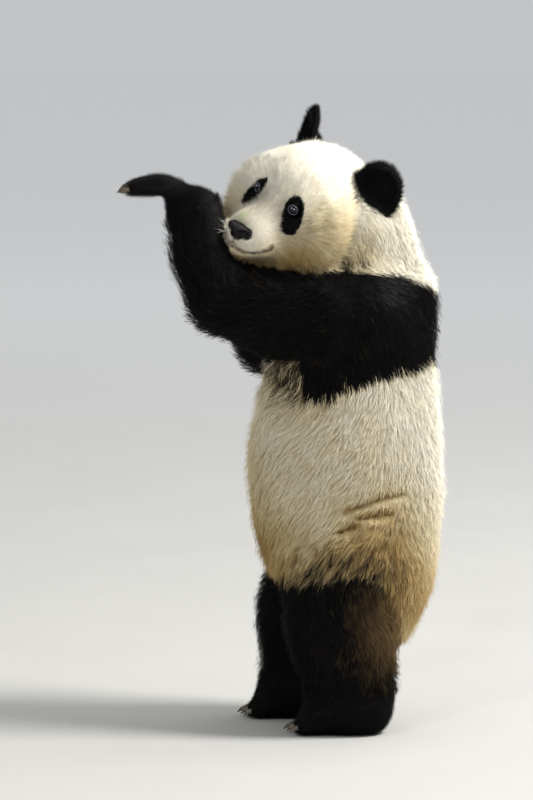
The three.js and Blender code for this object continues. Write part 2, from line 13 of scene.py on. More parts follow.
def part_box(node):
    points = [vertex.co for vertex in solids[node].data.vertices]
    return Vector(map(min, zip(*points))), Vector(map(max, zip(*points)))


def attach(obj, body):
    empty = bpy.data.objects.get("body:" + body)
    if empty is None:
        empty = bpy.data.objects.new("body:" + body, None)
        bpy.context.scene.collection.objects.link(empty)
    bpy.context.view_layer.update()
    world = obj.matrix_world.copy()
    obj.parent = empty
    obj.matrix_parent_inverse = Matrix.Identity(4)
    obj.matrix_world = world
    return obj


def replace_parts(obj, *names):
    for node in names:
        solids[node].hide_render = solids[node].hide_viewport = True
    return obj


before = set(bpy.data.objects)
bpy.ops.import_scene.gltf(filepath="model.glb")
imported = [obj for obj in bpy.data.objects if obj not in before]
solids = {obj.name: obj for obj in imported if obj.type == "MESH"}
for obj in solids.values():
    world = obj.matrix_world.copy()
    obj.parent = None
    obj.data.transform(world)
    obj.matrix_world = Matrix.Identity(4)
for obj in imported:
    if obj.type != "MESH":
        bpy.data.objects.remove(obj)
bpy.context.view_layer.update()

MM = 0.001
SIDES = {"left": 1, "right": -1}
draw = np.random.default_rng(20)

# ------------------------ sizes
VOXEL = 4.5 * MM  # the grain at which the solids are fused
NOSE_VOXEL = 1.0 * MM

# The face is measured in the head's own frame: x to its left, y back from the face and z up.
HEAD_AT = np.array([12, 51, 974]) * MM
HEAD_TURN = (1, 23, 45)  # nod, tilt and yaw in degrees
EYE_AT = np.array([46.5, -84, 12]) * MM
EYE_RADIUS = 11.5 * MM
EYE_SWELL = 0.07  # how far the clear front stands out, as a share of the radius
LID_RADIUS = 13.2 * MM
LID_OPENING = (9.4 * MM, 8.4 * MM)  # half width and half height
LID_OUTWARD = 0.4  # how far the eyes look to the side
LID_SLANT = 0.2  # how far the inner corner rises over the outer one
LID_RIM = 1.0 * MM
NOSE_TIP = np.array([0, -176, -46]) * MM
NOSE_EDGE = 25 * MM  # how far the bare leather goes from the tip
MOUTH = np.array([
    [0, -170, -75], [18, -169, -80], [31, -164, -82], [43, -151, -80], [50, -141, -74], [54, -132, -67],
    [56, -127, -60],
]) * MM
MOUTH_DEPTH, MOUTH_WIDTH = 8.0, 4.0 * MM  # depths and rises are in mm
LIP_RISE, LIP_OFF = 2.4, 9.0 * MM
PHILTRUM = np.array([[0, -173, -60], [0, -172, -66], [0, -170, -75]]) * MM
PHILTRUM_DEPTH, PHILTRUM_WIDTH = 2.6, 2.2 * MM
FACE_FADE = (25 * MM, 98 * MM)  # from the nose tip, where the face's short coat begins to go and is gone
# The part of the face with finer skin: how far back it goes, its half width, middle and half height.
FINE_BACK, FINE_SIDE, FINE_MIDDLE, FINE_HALF = -62 * MM, 88 * MM, -30 * MM, 90 * MM

# Where the limbs turn, from the solids: the coat lies along these lines.
ARMS = {
    "left": ([112, 150, 772], [80, -108, 800], [62, -158, 955], [66, -300, 990]),
    "right": ([-112, 140, 772], [-108, -26, 698], [-70, -150, 942], [-66, -300, 990]),
}
# Folds of loose skin over the hips: points along each, the same on both sides.
FOLDS = [
    np.array([[175, 116, 421], [174, 150, 433], [164, 185, 444], [154, 207, 448], [141, 228, 451]]) * MM,
    np.array([[175, 142, 407], [169, 172, 412], [155, 204, 416]]) * MM,
    np.array([[175, 108, 383], [176, 123, 389], [175, 137, 393]]) * MM,
]
FOLD_DEPTH, FOLD_WIDTH, FOLD_BARE = 9 * MM, 7 * MM, 15 * MM
WRINKLE = 3.5 * MM

# Each region's hair in mm: length, height of the tips over the skin, half width, and tufts to the square cm.
COAT = {
    "head": (15, 7, 0.42, 42),
    "ear": (13, 5.5, 0.45, 44),
    "eye_patch": (7, 3, 0.4, 60),
    "neck": (24, 10, 0.5, 13),
    "shoulders": (26, 11, 0.65, 7),
    "torso": (28, 11, 0.46, 11),
    "tail": (20, 9, 0.6, 8),
    "upper_arm": (26, 10, 0.65, 7),
    "forearm": (26, 10, 0.65, 7),
    "hand": (13, 6, 0.5, 24),
    "leg": (22, 9, 0.62, 8),
    "foot": (12, 5, 0.5, 22),
}
REGIONS = list(COAT)
COAT_TABLE = np.array(list(COAT.values()), float)
BLACK_REGIONS = ("ear", "eye_patch", "shoulders", "upper_arm", "forearm", "hand", "leg", "foot")
FACE_COAT = np.array((7, 2.4, 0.32, 90))  # beside the nose, in the same measures
LENGTH_SPREAD, HEIGHT_SPREAD, WIDTH_SPREAD = (0.7, 1.25), (0.5, 1.25), (0.7, 1.2)
GUARDS, GUARD_RISE = 0.2, 1.1  # share of the hairs that stand out, and by how much more
ROOT_DEPTH = 1.5 * MM
CLUMPS = ((28 * MM, 0.15), (9 * MM, 0.35))  # how far apart the clumps are and how strongly they gather
SHORT_HAIR, LONG_HAIR = 4 * MM, 24 * MM  # short hair doesn't clump, and long hair does in full
BACK_OF_FACE = -45 * MM
WAIST = 0.45  # the height that parts the flanks from the hips

# Whiskers of each side: how many, how long, and the middle of their bed in mm.
WHISKERS = {"left": (8, 18, (38, -152, -50)), "right": (52, 36, (26, -162, -58))}
WHISKER_SPREAD = np.array([9, 9, 13])
WHISKER_RADIUS = 0.5 * MM


def both_sides(centre, reach, strength):
    """A soft spot on the left and its mirror image on the right."""
    x, y, z = centre
    return [([side * x, y, z], reach, strength) for side in SIDES.values()]


# Soft spots: centre, reach in mm and strength.
WRINKLED = both_sides([170, 165, 395], [60, 75, 60], 1.0)
# Stains of the pale coat, from dusty to brown; those on the front of the belly and on the flanks are partly
# painted shade.
STAINS_AND_SHADE = [
    *both_sides([150, 190, 350], [120, 120, 100], 0.62),
    ([0, 285, 230], [170, 110, 100], 0.72),
    ([0, 190, 230], [190, 60, 60], 0.85),
    ([0, -40, 330], [210, 90, 100], 0.85),
    ([0, -60, 480], [190, 60, 130], 0.42),
    *both_sides([150, 80, 520], [60, 170, 170], 0.22),
    *both_sides([110, 118, 876], [60, 60, 56], 0.5),
]
# Stains of the face. The stronger ones on the left cheek and jaw, and the one under the chin, are partly
# painted shade.
FACE_STAINS_AND_SHADE = [
    ([86, -66, -80], [48, 64, 46], 1.0),
    ([-86, -66, -80], [46, 62, 44], 0.6),
    ([0, -132, -106], [70, 50, 26], 0.85),
    ([104, -20, -26], [46, 80, 74], 0.66),
    ([-104, -20, -40], [46, 80, 50], 0.3),
]
# Where black hair mixes into the pale coat: over the thighs, under the arms and low on the neck. Under the
# arms and low on the neck it is also painted shade, where the arms and the head shade the coat.
SMOKE_AND_SHADE = [
    *both_sides([150, 104, 288], [90, 96, 56], 0.6),
    *both_sides([120, 4, 664], [95, 66, 58], 0.72),
    *both_sides([150, 112, 862], [70, 50, 22], 0.6),
]
BROWN_IN_BLACK = both_sides([115, 185, 215], [70, 62, 85], 1.0)  # brown mixed into the black hair
GREY_AND_SHADE_ON_BRIDGE = [([0, -124, -12], [46, 60, 38], 0.95)]  # grey over the bridge between the eyes: partly a grey mark, partly painted shade
GREEN_SPOT = [([-10, -158, -24], [9, 14, 9], 0.6)]  # a green tint above the nose
# Where the hair is longer: at the back of the cheeks and at the face's rim.
CHEEKS = both_sides([95, 10, -50], [45, 60, 45], 1.0)
FACE_RIM = both_sides([106, -80, -6], [26, 40, 62], 1.0)
NOSTRILS = both_sides([21, -174, -46], [10.5, 16, 6.5], 1.0)
NOSTRIL_DEPTH, NOSE_SPLIT = 13, 1.5  # in mm

# Camera: what it looks at, how far off it stands and how steeply it looks down.
CAMERA_AIM = Vector((0, -0.0268, 0.607))
CAMERA_AWAY = 8.0
CAMERA_DOWN = math.radians(5.5)
LENS, SENSOR = 194.7, 36  # in mm
# Lamps: name, place, size, power and colour. All are turned to the panda's middle.
LAMPS = [
    ("key", (1.0, 4.3, 5.1), 2.2, 545, (1.0, 0.98, 0.95)),
    ("top", (-1.6, 1.8, 5.2), 3.0, 60, (0.97, 0.98, 1.0)),
    ("fill", (4.7, -2.0, 3.4), 0.5, 48, (1.0, 1.0, 1.0)),
]
LAMP_AIM = Vector((0, 0, 0.7))
ROOM_COLOUR, ROOM_LIGHT = (0.93, 0.95, 0.97, 1), 0.58
FLOOR_RADIUS, FLOOR_SIDES = 60, 96


# ------------------------ small maths
def unit(vectors):
    return vectors / np.maximum(np.linalg.norm(vectors, axis=-1, keepdims=True), 1e-12)


def ease(low, high, values):
    t = np.clip((values - low) / (high - low), 0, 1)
    return t * t * (3 - 2 * t)


def bell(far, width):
    """1 in the middle, falling off to 0 over about twice the width."""
    return np.exp(-((far / width) ** 2))


def waves(points, size, seed):
    """Smooth noise of about -1 to 1, with bumps of one size: sine waves in random directions, added up."""
    lot = np.random.default_rng(seed)
    count = 14
    ways = unit(lot.normal(size=(count, 3))) * (math.tau / size) * lot.uniform(0.6, 1.5, (count, 1))
    return np.sin(points @ ways.T + lot.uniform(0, math.tau, count)).sum(1) / math.sqrt(count) * 0.9


def distance_to_line(points, line):
    """Distance of each point to a run of straight pieces."""
    best = np.full(len(points), np.inf)
    for a, b in zip(line[:-1], line[1:]):
        along = b - a
        t = np.clip((points - a) @ along / max(along @ along, 1e-12), 0, 1)
        best = np.minimum(best, np.linalg.norm(points - a - t[:, None] * along, axis=1))
    return best


def mirrored(points):
    return np.array(points, float) * [-1, 1, 1]


def laid_on(tree, line):
    """A finer copy of a line, moved to the nearest points of a surface."""
    steps = np.linspace(0, len(line) - 1, 6 * (len(line) - 1) + 1)
    fine = np.stack([np.interp(steps, np.arange(len(line)), column) for column in line.T], 1)
    return np.array([tuple(tree.find_nearest(p)[0]) for p in fine.tolist()])


def head_axes():
    nod, tilt, yaw = (math.radians(a) for a in HEAD_TURN)
    turn = Matrix.Rotation(yaw, 3, "Z") @ Matrix.Rotation(tilt, 3, "Y") @ Matrix.Rotation(nod, 3, "X")
    return np.array(turn)


HEAD_AXES = head_axes()


def to_head(points):
    return (points - HEAD_AT) @ HEAD_AXES


def from_head(points):
    return points @ HEAD_AXES.T + HEAD_AT


def turn_from_head(directions):
    return directions @ HEAD_AXES.T


def blobs(points, spots):
    """How strongly a list of soft spots covers each point."""
    left = np.ones(len(points))
    for centre, reach, strength in spots:
        far = np.linalg.norm((points - np.array(centre) * MM) / (np.array(reach) * MM), axis=1)
        left *= 1 - strength * np.exp(-(far**2))
    return 1 - left


# ------------------------ meshes
def mesh_from(name, points, faces, smooth=True):
    """A mesh from numpy arrays: faces is a list of arrays, one for each count of corners."""
    mesh = bpy.data.meshes.new(name)
    corners = np.concatenate([f.ravel() for f in faces]).astype(np.int32)
    sizes = np.concatenate([np.full(len(f), f.shape[1]) for f in faces])
    starts = np.concatenate([[0], np.cumsum(sizes)[:-1]]).astype(np.int32)
    mesh.vertices.add(len(points))
    mesh.vertices.foreach_set("co", np.asarray(points, np.float32).ravel())
    mesh.loops.add(len(corners))
    mesh.loops.foreach_set("vertex_index", corners)
    mesh.polygons.add(len(sizes))
    mesh.polygons.foreach_set("loop_start", starts)
    mesh.update(calc_edges=True)
    if smooth:
        mesh.shade_smooth()
    else:
        mesh.shade_flat()
    return mesh


def show(thing):
    bpy.context.scene.collection.objects.link(thing)


def place(name, mesh, slot, finish):
    """A piece of the panda, with its finish. The slot is not used."""
    piece = bpy.data.objects.new(name, mesh)
    show(piece)
    mesh.materials.clear()
    mesh.materials.append(finish)
    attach(piece, "root")
    return piece


def read_points(mesh):
    points = np.empty(len(mesh.vertices) * 3, np.float32)
    mesh.vertices.foreach_get("co", points)
    return points.reshape(-1, 3).astype(float)


def read_faces(mesh):
    """The triangles of a mesh, as vertex numbers and as corner numbers."""
    mesh.calc_loop_triangles()
    triangles = np.empty(len(mesh.loop_triangles) * 3, np.int32)
    corners = triangles.copy()
    mesh.loop_triangles.foreach_get("vertices", triangles)
    mesh.loop_triangles.foreach_get("loops", corners)
    return triangles.reshape(-1, 3), corners.reshape(-1, 3)


def give(mesh, name, values):
    """Stores one value or one vector for each vertex."""
    kind = "FLOAT_VECTOR" if values.ndim == 2 else "FLOAT"
    layer = mesh.attributes.new(name, kind, "POINT")
    layer.data.foreach_set("vector" if values.ndim == 2 else "value", values.astype(np.float32).ravel())


def fused(names, voxel):
    """One closed mesh round the named solids."""
    points, faces, start = [], [], 0
    for name in names:
        mesh = solids[name].data
        points.append(read_points(mesh))
        faces.append(read_faces(mesh)[0] + start)
        start += len(points[-1])
    rough = bpy.data.objects.new("rough", mesh_from("rough", np.concatenate(points), [np.concatenate(faces)]))
    show(rough)
    remesh = rough.modifiers.new("fuse", "REMESH")
    remesh.mode = "VOXEL"
    remesh.voxel_size = voxel
    ready = rough.evaluated_get(bpy.context.evaluated_depsgraph_get())
    mesh = bpy.data.meshes.new_from_object(ready)
    bpy.data.objects.remove(rough)
    return keep_largest(mesh)


def keep_largest(mesh):
    """Drops the small closed pockets that fusing leaves inside."""
    edges = np.empty(len(mesh.edges) * 2, np.int32)
    mesh.edges.foreach_get("vertices", edges)
    a, b = edges.reshape(-1, 2).T
    label = np.arange(len(mesh.vertices))
    while True:
        low = np.minimum(label[a], label[b])
        before = label.copy()
        np.minimum.at(label, a, low)
        np.minimum.at(label, b, low)
        label = label[label]
        if (label == before).all():
            break
    main = np.bincount(label).argmax()
    shape = bmesh.new()
    shape.from_mesh(mesh)
    shape.verts.ensure_lookup_table()
    bmesh.ops.delete(shape, geom=[shape.verts[i] for i in np.flatnonzero(label != main)], context="VERTS")
    shape.to_mesh(mesh)
    shape.free()
    return mesh


class Surface:
    """The points of a mesh with what smoothing and sculpting need."""

    def __init__(self, mesh):
        self.mesh = mesh
        self.read()

    def read(self):
        edges = np.empty(len(self.mesh.edges) * 2, np.int32)
        self.mesh.edges.foreach_get("vertices", edges)
        self.a, self.b = edges.reshape(-1, 2).T
        self.points = read_points(self.mesh)
        self.near = np.bincount(np.concatenate([self.a, self.b]), minlength=len(self.points))
        self.triangles = read_faces(self.mesh)[0]

    def tree(self):
        return BVHTree.FromPolygons(self.points.tolist(), self.triangles.tolist())

    def mean(self, values):
        """The mean of each vertex's neighbours."""
        if values.ndim == 2:
            return np.stack([self.mean(column) for column in values.T], 1)
        count = len(self.points)
        total = np.bincount(self.a, values[self.b], count) + np.bincount(self.b, values[self.a], count)
        return total / np.maximum(self.near, 1)

    def share_of(self, *names):
        """How much of each vertex belongs to the named regions."""
        return self.weights[:, [REGIONS.index(n) for n in names]].sum(1)

    def soften(self, values, rounds):
        for _ in range(rounds):
            values = values + 0.5 * (self.mean(values) - values)
        return values

    def relax(self, rounds, share):
        """Smooths the points, by a share for each of them."""
        share = np.broadcast_to(share, len(self.points))[:, None]
        for _ in range(rounds):
            self.points = self.points + share * (self.mean(self.points) - self.points)

    def normals(self):
        corners = self.points[self.triangles]
        across = np.cross(corners[:, 1] - corners[:, 0], corners[:, 2] - corners[:, 0])
        total = np.zeros_like(self.points)
        for k in range(3):
            for axis in range(3):
                total[:, axis] += np.bincount(self.triangles[:, k], across[:, axis], len(self.points))
        return unit(total)

    def write(self):
        self.mesh.vertices.foreach_set("co", self.points.astype(np.float32).ravel())
        self.mesh.update()


# ------------------------ finishes
class Wire:
    """A socket in a finish. Python's operators on it add Math nodes."""

    def __init__(self, finish, socket):
        self.finish = finish
        self.socket = socket

    def _math(self, operation, *values):
        return self.finish.node("Math", {"operation": operation}, dict(enumerate(values)))

    def __add__(self, other):
        return self._math("ADD", self, other)

    def __sub__(self, other):
        return self._math("SUBTRACT", self, other)

    def __mul__(self, other):
        return self._math("MULTIPLY", self, other)

    def __rsub__(self, other):
        return self._math("SUBTRACT", other, self)

    __radd__ = __add__
    __rmul__ = __mul__

    def clamp(self):
        return self.finish.node("Clamp", {}, {"Value": self})

    def step(self, low, high):
        """0 below low, 1 above high, eased between them."""
        settings = {"interpolation_type": "SMOOTHSTEP"}
        return self.finish.node("MapRange", settings, {"Value": self, "From Min": low, "From Max": high})


class Finish:
    """A material, with one method that adds any node."""

    def __init__(self, name, **constants):
        self.material = bpy.data.materials.new(name)
        self.material.use_nodes = True
        self.tree = self.material.node_tree
        self.shader = self.tree.nodes["Principled BSDF"]
        for socket, value in constants.items():
            self.shader.inputs[socket.replace("_", " ")].default_value = value

    def node(self, kind, settings=None, inputs=None, output=0):
        made = self.tree.nodes.new("ShaderNode" + kind)
        for name, value in (settings or {}).items():
            if name == "stops":
                ramp = made.color_ramp
                while len(ramp.elements) < len(value):
                    ramp.elements.new(1)
                for stop, (at, colour) in zip(ramp.elements, value):
                    stop.position = at
                    stop.color = (*colour, 1)
            else:
                setattr(made, name, value)
        for name, value in (inputs or {}).items():
            if isinstance(value, Wire):
                self.tree.links.new(value.socket, made.inputs[name])
            else:
                made.inputs[name].default_value = value
        return Wire(self, made.outputs[output])

    def mix(self, share, a, b, blend="MIX"):
        """Colour a turning to colour b as share goes from 0 to 1."""
        a, b = (x if isinstance(x, Wire) else (*x, 1) for x in (a, b))
        settings = {"data_type": "RGBA", "blend_type": blend, "clamp_factor": True}
        return self.node("Mix", settings, {0: share, 6: a, 7: b}, output=2)

    def stored(self, name, vector=False):
        return self.node("Attribute", {"attribute_name": name}, output=1 if vector else 2)

    def noise(self, at, scale, detail, rough=0.5):
        inputs = {"Vector": at, "Scale": scale, "Detail": detail, "Roughness": rough}
        return self.node("TexNoise", {"noise_dimensions": "3D"}, inputs)

    def position(self):
        return self.node("NewGeometry")

    def bump(self, height, strength, distance):
        return self.node("Bump", {}, {"Height": height, "Strength": strength, "Distance": distance})

    def set(self, **wires):
        for socket, wire in wires.items():
            self.tree.links.new(wire.socket, self.shader.inputs[socket.replace("_", " ")])
        return self.material


def tone(*screen):
    """A colour given as screen values from 0 to 255, as linear light."""
    parts = (value / 255 for value in screen)
    return tuple(c / 12.92 if c <= 0.04045 else ((c + 0.055) / 1.055) ** 2.4 for c in parts)


WHITE = tone(249, 244, 226)
CREAM = tone(235, 222, 186)
TAN = tone(196, 168, 114)
UMBER = tone(118, 88, 46)
MOSSY = tone(176, 196, 120)
ASH = tone(122, 112, 96)
BAY = tone(128, 103, 68)
SMOKY = tone(104, 93, 72)
RUST = tone(22, 16, 13)
SOOT = tone(11, 11, 12)
JET = tone(2, 2, 3)


def coat_colour(finish):
    """Black or stained pale hair, by what each point stores, with painted shade deep in the coat and where
    stains stand in for shade. Skin and tufts share it.
    """
    at = finish.stored("root", vector=True)
    dark, stain, tint, tip = (finish.stored(name) for name in ("dark", "stain", "tint", "tip"))
    patchy = finish.noise(at, 22, 3)
    fine = finish.noise(at, 160, 2)
    tone_level = (stain + (patchy - 0.5) * 0.3 + (fine - 0.5) * 0.16 + tint * 0.12).clamp()
    stops = [(0.0, WHITE), (0.32, CREAM), (0.68, TAN), (1.0, UMBER)]
    pale = finish.node("ValToRGB", {"stops": stops}, {"Fac": tone_level})
    # Painted shade: pale hair turns umber towards its roots and on the skin, more where stained.
    pale = finish.mix((1 - tip) * (0.08 + stain * 0.3), pale, UMBER)
    # Grey over the bridge: partly a grey mark, partly painted shade.
    pale = finish.mix(finish.stored("ash") * (0.4 + fine * 0.6), pale, ASH)
    pale = finish.mix(finish.stored("moss"), pale, MOSSY)
    black = finish.mix((tip * 0.5 + tint * 0.3).clamp(), JET, SOOT)
    black = finish.mix((patchy - 0.56).clamp() * 2.0, black, RUST)
    black = finish.mix((finish.stored("brown") * (0.5 + patchy) + tint * 0.2 - 0.1).clamp(), black, BAY)
    marked = dark + (fine - 0.5) * 0.4 + tint * 0.14
    # Pale hair turns grey-brown where black mixes in; under the arms and low on the neck this is painted
    # shade.
    pale = finish.mix(marked.step(0.14, 0.5), pale, SMOKY)
    edge = marked.step(0.42, 0.7)
    return finish.mix(edge, pale, black), edge


def fur_finish():
    finish = Finish("fur", Specular_IOR_Level=0.08)
    colour, edge = coat_colour(finish)
    return finish.set(Base_Color=colour, Roughness=0.72 - edge * 0.2)


def skin_finish():
    finish = Finish("hide", Specular_IOR_Level=0.2)
    colour, edge = coat_colour(finish)
    at = finish.stored("root", vector=True)
    bare, rosy = finish.stored("bare"), finish.stored("rosy")
    strands = finish.noise(finish.stored("flow", vector=True), 700, 3, 0.6)
    colour = finish.mix(0.12 + strands * 0.25, colour, tone(120, 104, 76), "MULTIPLY")
    lip = finish.mix(rosy, tone(20, 11, 8), tone(104, 62, 46))
    lip = finish.mix(finish.noise(at, 240, 2) * 0.5, lip, tone(60, 42, 36))
    colour = finish.mix(bare, colour, lip)
    grain = strands * 0.7 + finish.noise(at, 900, 3, 0.6) * 0.3
    return finish.set(Base_Color=colour, Roughness=0.85 - bare * 0.2, Normal=finish.bump(grain, 0.7, 0.0014))


def nose_finish():
    finish = Finish("nose leather", Specular_IOR_Level=0.25, Coat_Roughness=0.3)
    at = finish.position()
    cells = {"Vector": at, "Scale": 420, "Randomness": 0.9}
    pebble = finish.node("TexVoronoi", {"feature": "DISTANCE_TO_EDGE"}, cells).step(0.0, 0.28)
    wear = finish.noise(at, 60, 3)
    # The grooves between the pebbles are painted darker: painted shade.
    colour = finish.mix(pebble * 0.3 + wear * 0.4, tone(2, 2, 2), tone(12, 10, 9))
    # The nostrils and the split under them are painted near black: painted shade in these hollows.
    colour = finish.mix(finish.stored("hollow").step(0.25, 0.6), colour, tone(1, 1, 1))
    bump = finish.bump(pebble + finish.noise(at, 1500, 2) * 0.3, 0.7, 0.0005)
    return finish.set(Base_Color=colour, Roughness=0.3 + wear * 0.25, Coat_Weight=pebble * 0.05, Normal=bump)


def eye_finish():
    finish = Finish("eyeball", Roughness=0.05, Specular_IOR_Level=0.3, Coat_Weight=0.1, Coat_Roughness=0.03)
    gaze = finish.stored("gaze")
    spokes = {"W": finish.stored("spoke") * 9.0, "Scale": 3.0, "Detail": 3.0}
    streaks = finish.node("TexNoise", {"noise_dimensions": "1D"}, spokes)
    iris = finish.mix(streaks, tone(8, 5, 4), tone(26, 16, 11))
    iris = finish.mix(gaze.step(0.86, 0.95) * 0.55, iris, tone(12, 8, 5))
    pupil = (gaze + (streaks - 0.5) * 0.004).step(0.925, 0.94)
    rim = gaze.step(0.66, 0.74)
    white = finish.mix(finish.noise(finish.position(), 500, 2), tone(70, 62, 60), tone(120, 106, 100))
    ball = finish.mix(rim, white, iris)
    limbus = (1 - gaze.step(0.72, 0.80)) * gaze.step(0.62, 0.70)
    ball = finish.mix(limbus * 0.8, ball, tone(14, 10, 8))
    ball = finish.mix(pupil, ball, tone(2, 2, 3))
    # The two small pale spots are painted highlights on the eye.
    return finish.set(Base_Color=finish.mix(finish.stored("glint"), ball, tone(206, 212, 222)))


def lid_finish():
    finish = Finish("lid rim", Specular_IOR_Level=0.5)
    fine = finish.noise(finish.position(), 900, 3)
    # Pale bluish grey rather than dark skin: a painted reflection on the wet rim.
    colour = finish.mix(fine, tone(44, 48, 58), tone(86, 92, 106))
    return finish.set(Base_Color=colour, Roughness=0.3 + fine * 0.2, Normal=finish.bump(fine, 0.5, 0.0003))


def claw_finish():
    finish = Finish("claw horn", Specular_IOR_Level=0.5)
    at = finish.position()
    grain = finish.node("Mapping", {}, {"Vector": at, "Scale": (6.0, 1.0, 1.6)})
    streak = finish.noise(grain, 180, 4, 0.6)
    tone_level = finish.noise(at, 70, 2)
    colour = finish.mix(streak, tone(40, 34, 28), tone(112, 98, 78))
    colour = finish.mix((tone_level - 0.45).clamp() * 1.6, colour, tone(150, 136, 112))
    bump = finish.bump(streak, 0.35, 0.0006)
    return finish.set(Base_Color=colour, Roughness=0.34 + streak * 0.25, Normal=bump)


def whisker_finish():
    finish = Finish("whisker", Roughness=0.4)
    fade = finish.noise(finish.position(), 200, 2)
    return finish.set(Base_Color=finish.mix(fade, tone(238, 234, 222), tone(205, 196, 176)))


# ------------------------ camera, light and floor
def look_back(direction):
    """The turn of a camera or a lamp whose back is to this direction."""
    return direction.to_track_quat("Z", "Y").to_euler()


def add_camera():
    camera = bpy.data.cameras.new("camera")
    camera.lens = LENS
    camera.sensor_width = SENSOR
    camera.clip_end = 200
    eye = bpy.data.objects.new("camera", camera)
    back = Vector((math.cos(CAMERA_DOWN), 0, math.sin(CAMERA_DOWN)))
    eye.location = CAMERA_AIM + CAMERA_AWAY * back
    eye.rotation_euler = look_back(back)
    show(eye)
    bpy.context.scene.camera = eye


def add_lights():
    for name, at, size, power, colour in LAMPS:
        light = bpy.data.lights.new(name, "AREA")
        light.shape = "DISK"
        light.size = size
        light.energy = power
        light.color = colour
        lamp = bpy.data.objects.new(name, light)
        lamp.location = at
        lamp.rotation_euler = look_back(Vector(at) - LAMP_AIM)
        show(lamp)
    world = bpy.data.worlds.new("room")
    world.use_nodes = True
    room = world.node_tree.nodes["Background"]
    room.inputs["Color"].default_value = ROOM_COLOUR
    room.inputs["Strength"].default_value = ROOM_LIGHT
    bpy.context.scene.world = world
    bpy.context.scene.view_settings.view_transform = "Standard"


def add_floor():
    """A wide pale disc that gets lighter away from the panda."""
    turns = np.linspace(0, math.tau, FLOOR_SIDES, endpoint=False)
    ring = FLOOR_RADIUS * np.stack([np.cos(turns), np.sin(turns), np.zeros(FLOOR_SIDES)], 1)
    disc = mesh_from("floor", ring, [np.arange(FLOOR_SIDES)[None]], smooth=False)
    floor = bpy.data.objects.new("floor", disc)
    paint = Finish("floor", Roughness=0.9, Specular_IOR_Level=0.1)
    away = paint.node("VectorMath", {"operation": "LENGTH"}, {0: paint.position()}, output=1)
    grain = paint.noise(paint.position(), 3, 4)
    near = paint.mix(grain, tone(188, 187, 183), tone(196, 195, 191))
    colour = paint.mix(away.step(1.0, 12.0), near, tone(254, 254, 254))
    floor.data.materials.append(paint.set(Base_Color=colour))
    show(floor)


# ------------------------ the skin
FLESH = [name for name in solids if "claw" not in name and name not in ("nose", "left_eye", "right_eye")]


def region_of(name):
    for word in ("left_", "right_"):
        name = name.removeprefix(word)
    return REGIONS.index(name)


def nearest_regions(points):
    """The region of the solid that lies nearest to each point."""
    vertices, faces, regions, start = [], [], [], 0
    for name in FLESH:
        mesh = solids[name].data
        triangles = read_faces(mesh)[0]
        vertices.append(read_points(mesh))
        faces.append(triangles + start)
        regions.append(np.full(len(triangles), region_of(name)))
        start += len(vertices[-1])
    regions = np.concatenate(regions)
    tree = BVHTree.FromPolygons(np.concatenate(vertices).tolist(), np.concatenate(faces).tolist())
    return regions[[tree.find_nearest(p)[2] for p in points.tolist()]]


def eye_frame(side):
    """The eye's centre and its axes: across, out of the head and up, in the head's own frame."""
    out = unit(np.array([side * LID_OUTWARD, -1, 0.02]))
    across = unit(np.cross(out, [0, 0, side]))
    across = unit(across + np.array([0, 0, LID_SLANT]))
    across = unit(across - (across @ out) * out)
    up = np.cross(across, out)
    up *= np.sign(up[2])
    return EYE_AT * [side, 1, 1], across, out, up


def eye_reach(local, side):
    """How far each point lies from the eye's axis, 1 being the lids' edge, with its offset along the axis."""
    centre, across, out, up = eye_frame(side)
    offset = local - centre
    ring = np.hypot(offset @ across / LID_OPENING[0], offset @ up / LID_OPENING[1])
    return ring, offset @ out, np.hypot(offset @ across, offset @ up)


def face_share(local):
    """1 at the nose and falling to 0 over the cheeks and the brow: how far the coat is a face's."""
    from_nose = np.linalg.norm((local - NOSE_TIP) / [1.0, 1.25, 1.0], axis=1)
    share = 1 - ease(*FACE_FADE, from_nose)
    for side in SIDES.values():
        ring = eye_reach(local, side)[0]
        share = np.maximum(share, 0.85 * (1 - ease(1.5, 3.6, ring)))
    return share * (local[:, 1] < -20 * MM)


def refine_face(surface):
    """Cuts the faces of the muzzle and round the eyes in four."""
    x, y, z = to_head(surface.points).T
    fine = (y < FINE_BACK) & (np.abs(x) < FINE_SIDE) & (np.abs(z - FINE_MIDDLE) < FINE_HALF)
    fine &= surface.share_of("head", "eye_patch") > 0.4
    shape = bmesh.new()
    shape.from_mesh(surface.mesh)
    shape.verts.ensure_lookup_table()
    chosen = {shape.verts[i] for i in np.flatnonzero(fine)}
    edges = [e for e in shape.edges if e.verts[0] in chosen and e.verts[1] in chosen]
    bmesh.ops.subdivide_edges(shape, edges=edges, cuts=1, use_grid_fill=True)
    bmesh.ops.triangulate(shape, faces=[f for f in shape.faces if len(f.verts) > 4])
    shape.to_mesh(surface.mesh)
    shape.free()
    surface.read()


